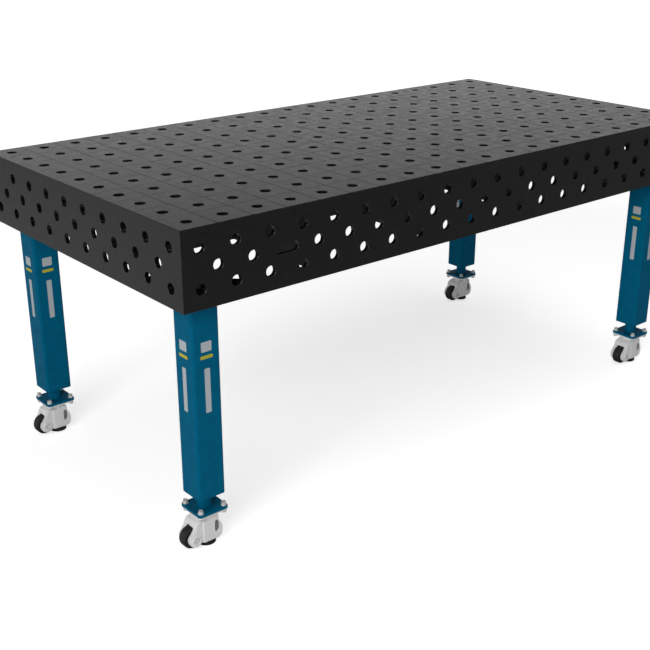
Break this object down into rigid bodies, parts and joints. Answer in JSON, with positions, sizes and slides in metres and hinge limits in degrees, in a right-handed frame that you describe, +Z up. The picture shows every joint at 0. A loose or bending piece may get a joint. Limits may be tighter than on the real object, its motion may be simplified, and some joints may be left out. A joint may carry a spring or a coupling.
{
  "type": "welding table",
  "caption": "Perforated steel welding table with deep drilled side walls, square blue legs and levelling swivel casters.",
  "frame": {"origin": "on the floor, under the middle of the table, wheels trailing to the left and pads on the floor", "axes": "+X along the long side to the right, +Y from the front (the side with the long slot) to the back, +Z up"},
  "size_m": [2, 1, 0.878],
  "materials": {
    "plate": "dark nitrided, fine matt grain",
    "paint": "satin powder coat, petrol blue",
    "casting": "fine blasted die casting",
    "zinc": "bright zinc",
    "nylon": "matt",
    "rubber": "matt",
    "dial": "matt, grooved rim"
  },
  "bodies": {
    "table": {"top_plate": "plate", "front_wall": "plate", "back_wall": "plate", "left_end": "plate", "right_end": "plate", "cross_rib_1": "plate", "cross_rib_2": "plate", "cross_rib_3": "plate", "cross_rib_4": "plate", "long_rib_1": "plate", "long_rib_2": "plate", "leg_fl": "paint", "leg_seat_fl": "plate", "leg_foot_fl": "paint", "caster_plate_fl": "casting", "leg_fr": "paint", "leg_seat_fr": "plate", "leg_foot_fr": "paint", "caster_plate_fr": "casting", "leg_bl": "paint", "leg_seat_bl": "plate", "leg_foot_bl": "paint", "caster_plate_bl": "casting", "leg_br": "paint", "leg_seat_br": "plate", "leg_foot_br": "paint", "caster_plate_br": "casting", "king_nuts": "zinc", "caster_screws": "zinc", "caster_nuts": "zinc", "leg_bolts": "zinc"},
    "caster_fl": {"housing_fl": "casting", "cover_fl": "casting", "axle_fl": "zinc"},
    "wheel_fl": {"wheel_fl": "nylon"},
    "foot_fl": {"pad_fl": "rubber", "spindle_fl": "zinc"},
    "dial_fl": {"dial_fl": "dial"},
    "caster_fr": {"housing_fr": "casting", "cover_fr": "casting", "axle_fr": "zinc"},
    "wheel_fr": {"wheel_fr": "nylon"},
    "foot_fr": {"pad_fr": "rubber", "spindle_fr": "zinc"},
    "dial_fr": {"dial_fr": "dial"},
    "caster_bl": {"housing_bl": "casting", "cover_bl": "casting", "axle_bl": "zinc"},
    "wheel_bl": {"wheel_bl": "nylon"},
    "foot_bl": {"pad_bl": "rubber", "spindle_bl": "zinc"},
    "dial_bl": {"dial_bl": "dial"},
    "caster_br": {"housing_br": "casting", "cover_br": "casting", "axle_br": "zinc"},
    "wheel_br": {"wheel_br": "nylon"},
    "foot_br": {"pad_br": "rubber", "spindle_br": "zinc"},
    "dial_br": {"dial_br": "dial"}
  },
  "joints": [
    {"name": "swivel_fl", "type": "hinge", "parent": "table", "child": "caster_fl", "pos_m": [-0.913, -0.413, 0.091], "axis": [0, 0, 1], "continuous": true},
    {"name": "roll_fl", "type": "hinge", "parent": "caster_fl", "child": "wheel_fl", "pos_m": [-0.9585, -0.413, 0.0315], "axis": [0, 1, 0], "continuous": true},
    {"name": "level_fl", "type": "slide", "parent": "caster_fl", "child": "foot_fl", "axis": [0, 0, 1], "range_m": [-0.01, 0.003]},
    {"name": "thumb_fl", "type": "hinge", "parent": "caster_fl", "child": "dial_fl", "pos_m": [-0.897, -0.4255, 0.053], "axis": [1, 0, 0], "range_deg": [-1805, 545]},
    {"name": "swivel_fr", "type": "hinge", "parent": "table", "child": "caster_fr", "pos_m": [0.913, -0.413, 0.091], "axis": [0, 0, 1], "continuous": true},
    {"name": "roll_fr", "type": "hinge", "parent": "caster_fr", "child": "wheel_fr", "pos_m": [0.8675, -0.413, 0.0315], "axis": [0, 1, 0], "continuous": true},
    {"name": "level_fr", "type": "slide", "parent": "caster_fr", "child": "foot_fr", "axis": [0, 0, 1], "range_m": [-0.01, 0.003]},
    {"name": "thumb_fr", "type": "hinge", "parent": "caster_fr", "child": "dial_fr", "pos_m": [0.929, -0.4255, 0.053], "axis": [1, 0, 0], "range_deg": [-1805, 545]},
    {"name": "swivel_bl", "type": "hinge", "parent": "table", "child": "caster_bl", "pos_m": [-0.913, 0.413, 0.091], "axis": [0, 0, 1], "continuous": true},
    {"name": "roll_bl", "type": "hinge", "parent": "caster_bl", "child": "wheel_bl", "pos_m": [-0.9585, 0.413, 0.0315], "axis": [0, 1, 0], "continuous": true},
    {"name": "level_bl", "type": "slide", "parent": "caster_bl", "child": "foot_bl", "axis": [0, 0, 1], "range_m": [-0.01, 0.003]},
    {"name": "thumb_bl", "type": "hinge", "parent": "caster_bl", "child": "dial_bl", "pos_m": [-0.897, 0.4005, 0.053], "axis": [1, 0, 0], "range_deg": [-1805, 545]},
    {"name": "swivel_br", "type": "hinge", "parent": "table", "child": "caster_br", "pos_m": [0.913, 0.413, 0.091], "axis": [0, 0, 1], "continuous": true},
    {"name": "roll_br", "type": "hinge", "parent": "caster_br", "child": "wheel_br", "pos_m": [0.8675, 0.413, 0.0315], "axis": [0, 1, 0], "continuous": true},
    {"name": "level_br", "type": "slide", "parent": "caster_br", "child": "foot_br", "axis": [0, 0, 1], "range_m": [-0.01, 0.003]},
    {"name": "thumb_br", "type": "hinge", "parent": "caster_br", "child": "dial_br", "pos_m": [0.929, 0.4005, 0.053], "axis": [1, 0, 0], "range_deg": [-1805, 545]}
  ],
  "couplings": [
    {"joint": "thumb_fl", "follows": "level_fl", "rad_per_m": 3141.6},
    {"joint": "thumb_fr", "follows": "level_fr", "rad_per_m": 3141.6},
    {"joint": "thumb_bl", "follows": "level_bl", "rad_per_m": 3141.6},
    {"joint": "thumb_br", "follows": "level_br", "rad_per_m": 3141.6}
  ]
}
